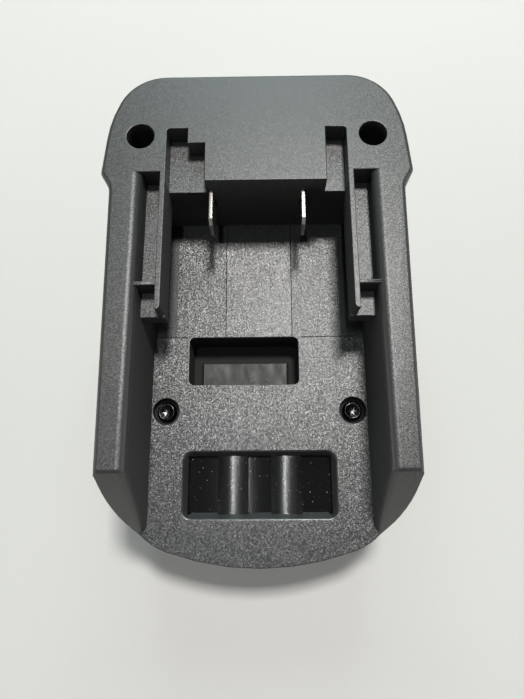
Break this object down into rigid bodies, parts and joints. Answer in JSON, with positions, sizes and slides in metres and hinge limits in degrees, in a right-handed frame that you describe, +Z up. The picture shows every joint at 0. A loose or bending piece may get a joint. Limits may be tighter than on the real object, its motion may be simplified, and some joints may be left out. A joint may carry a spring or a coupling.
{
  "type": "tool battery adapter",
  "caption": "Slide-on adapter for cordless tools: a railed battery slot with blade terminals on top, and a grooved slide-in head with receptacles and a sprung release latch below.",
  "frame": {"origin": "under the middle of the body, on the plane that the slide-in head stands on", "axes": "+X to the right, +Y towards the far end with the terminals, +Z up out of the battery slot"},
  "size_m": [0.0814, 0.1296, 0.0537],
  "materials": {
    "housing_plastic": "fine spark-eroded grain, polished in the floor pockets",
    "latch_plastic": "satin",
    "holder_plastic": "satin",
    "nickel_plate": "bright nickel plate",
    "contact_copper": "bare copper alloy",
    "spring_steel": "drawn wire",
    "screw_steel": "zinc plated",
    "black_screw": "black, semi-gloss",
    "red_insulation": "satin",
    "black_insulation": "satin"
  },
  "bodies": {
    "body": {"battery_side_housing": "housing_plastic", "tool_side_housing": "housing_plastic", "left_latch_spring": "spring_steel", "right_latch_spring": "spring_steel", "blade_holder": "holder_plastic", "terminal_screws": "screw_steel", "positive_blade": "nickel_plate", "negative_blade": "nickel_plate", "positive_sleeve": "red_insulation", "negative_sleeve": "black_insulation", "receptacle_block": "holder_plastic", "positive_receptacle": "contact_copper", "negative_receptacle": "contact_copper", "positive_lead": "red_insulation", "negative_lead": "black_insulation", "front_screws": "black_screw", "rear_screws": "black_screw"},
    "latch": {"release_latch": "latch_plastic"}
  },
  "joints": [
    {"name": "latch_slide", "type": "slide", "parent": "body", "child": "latch", "axis": [0, 0, 1], "range_m": [0, 0.005], "stiffness_N_per_m": 1200, "springref_m": -0.003, "deforming": ["left_latch_spring", "right_latch_spring"]}
  ]
}
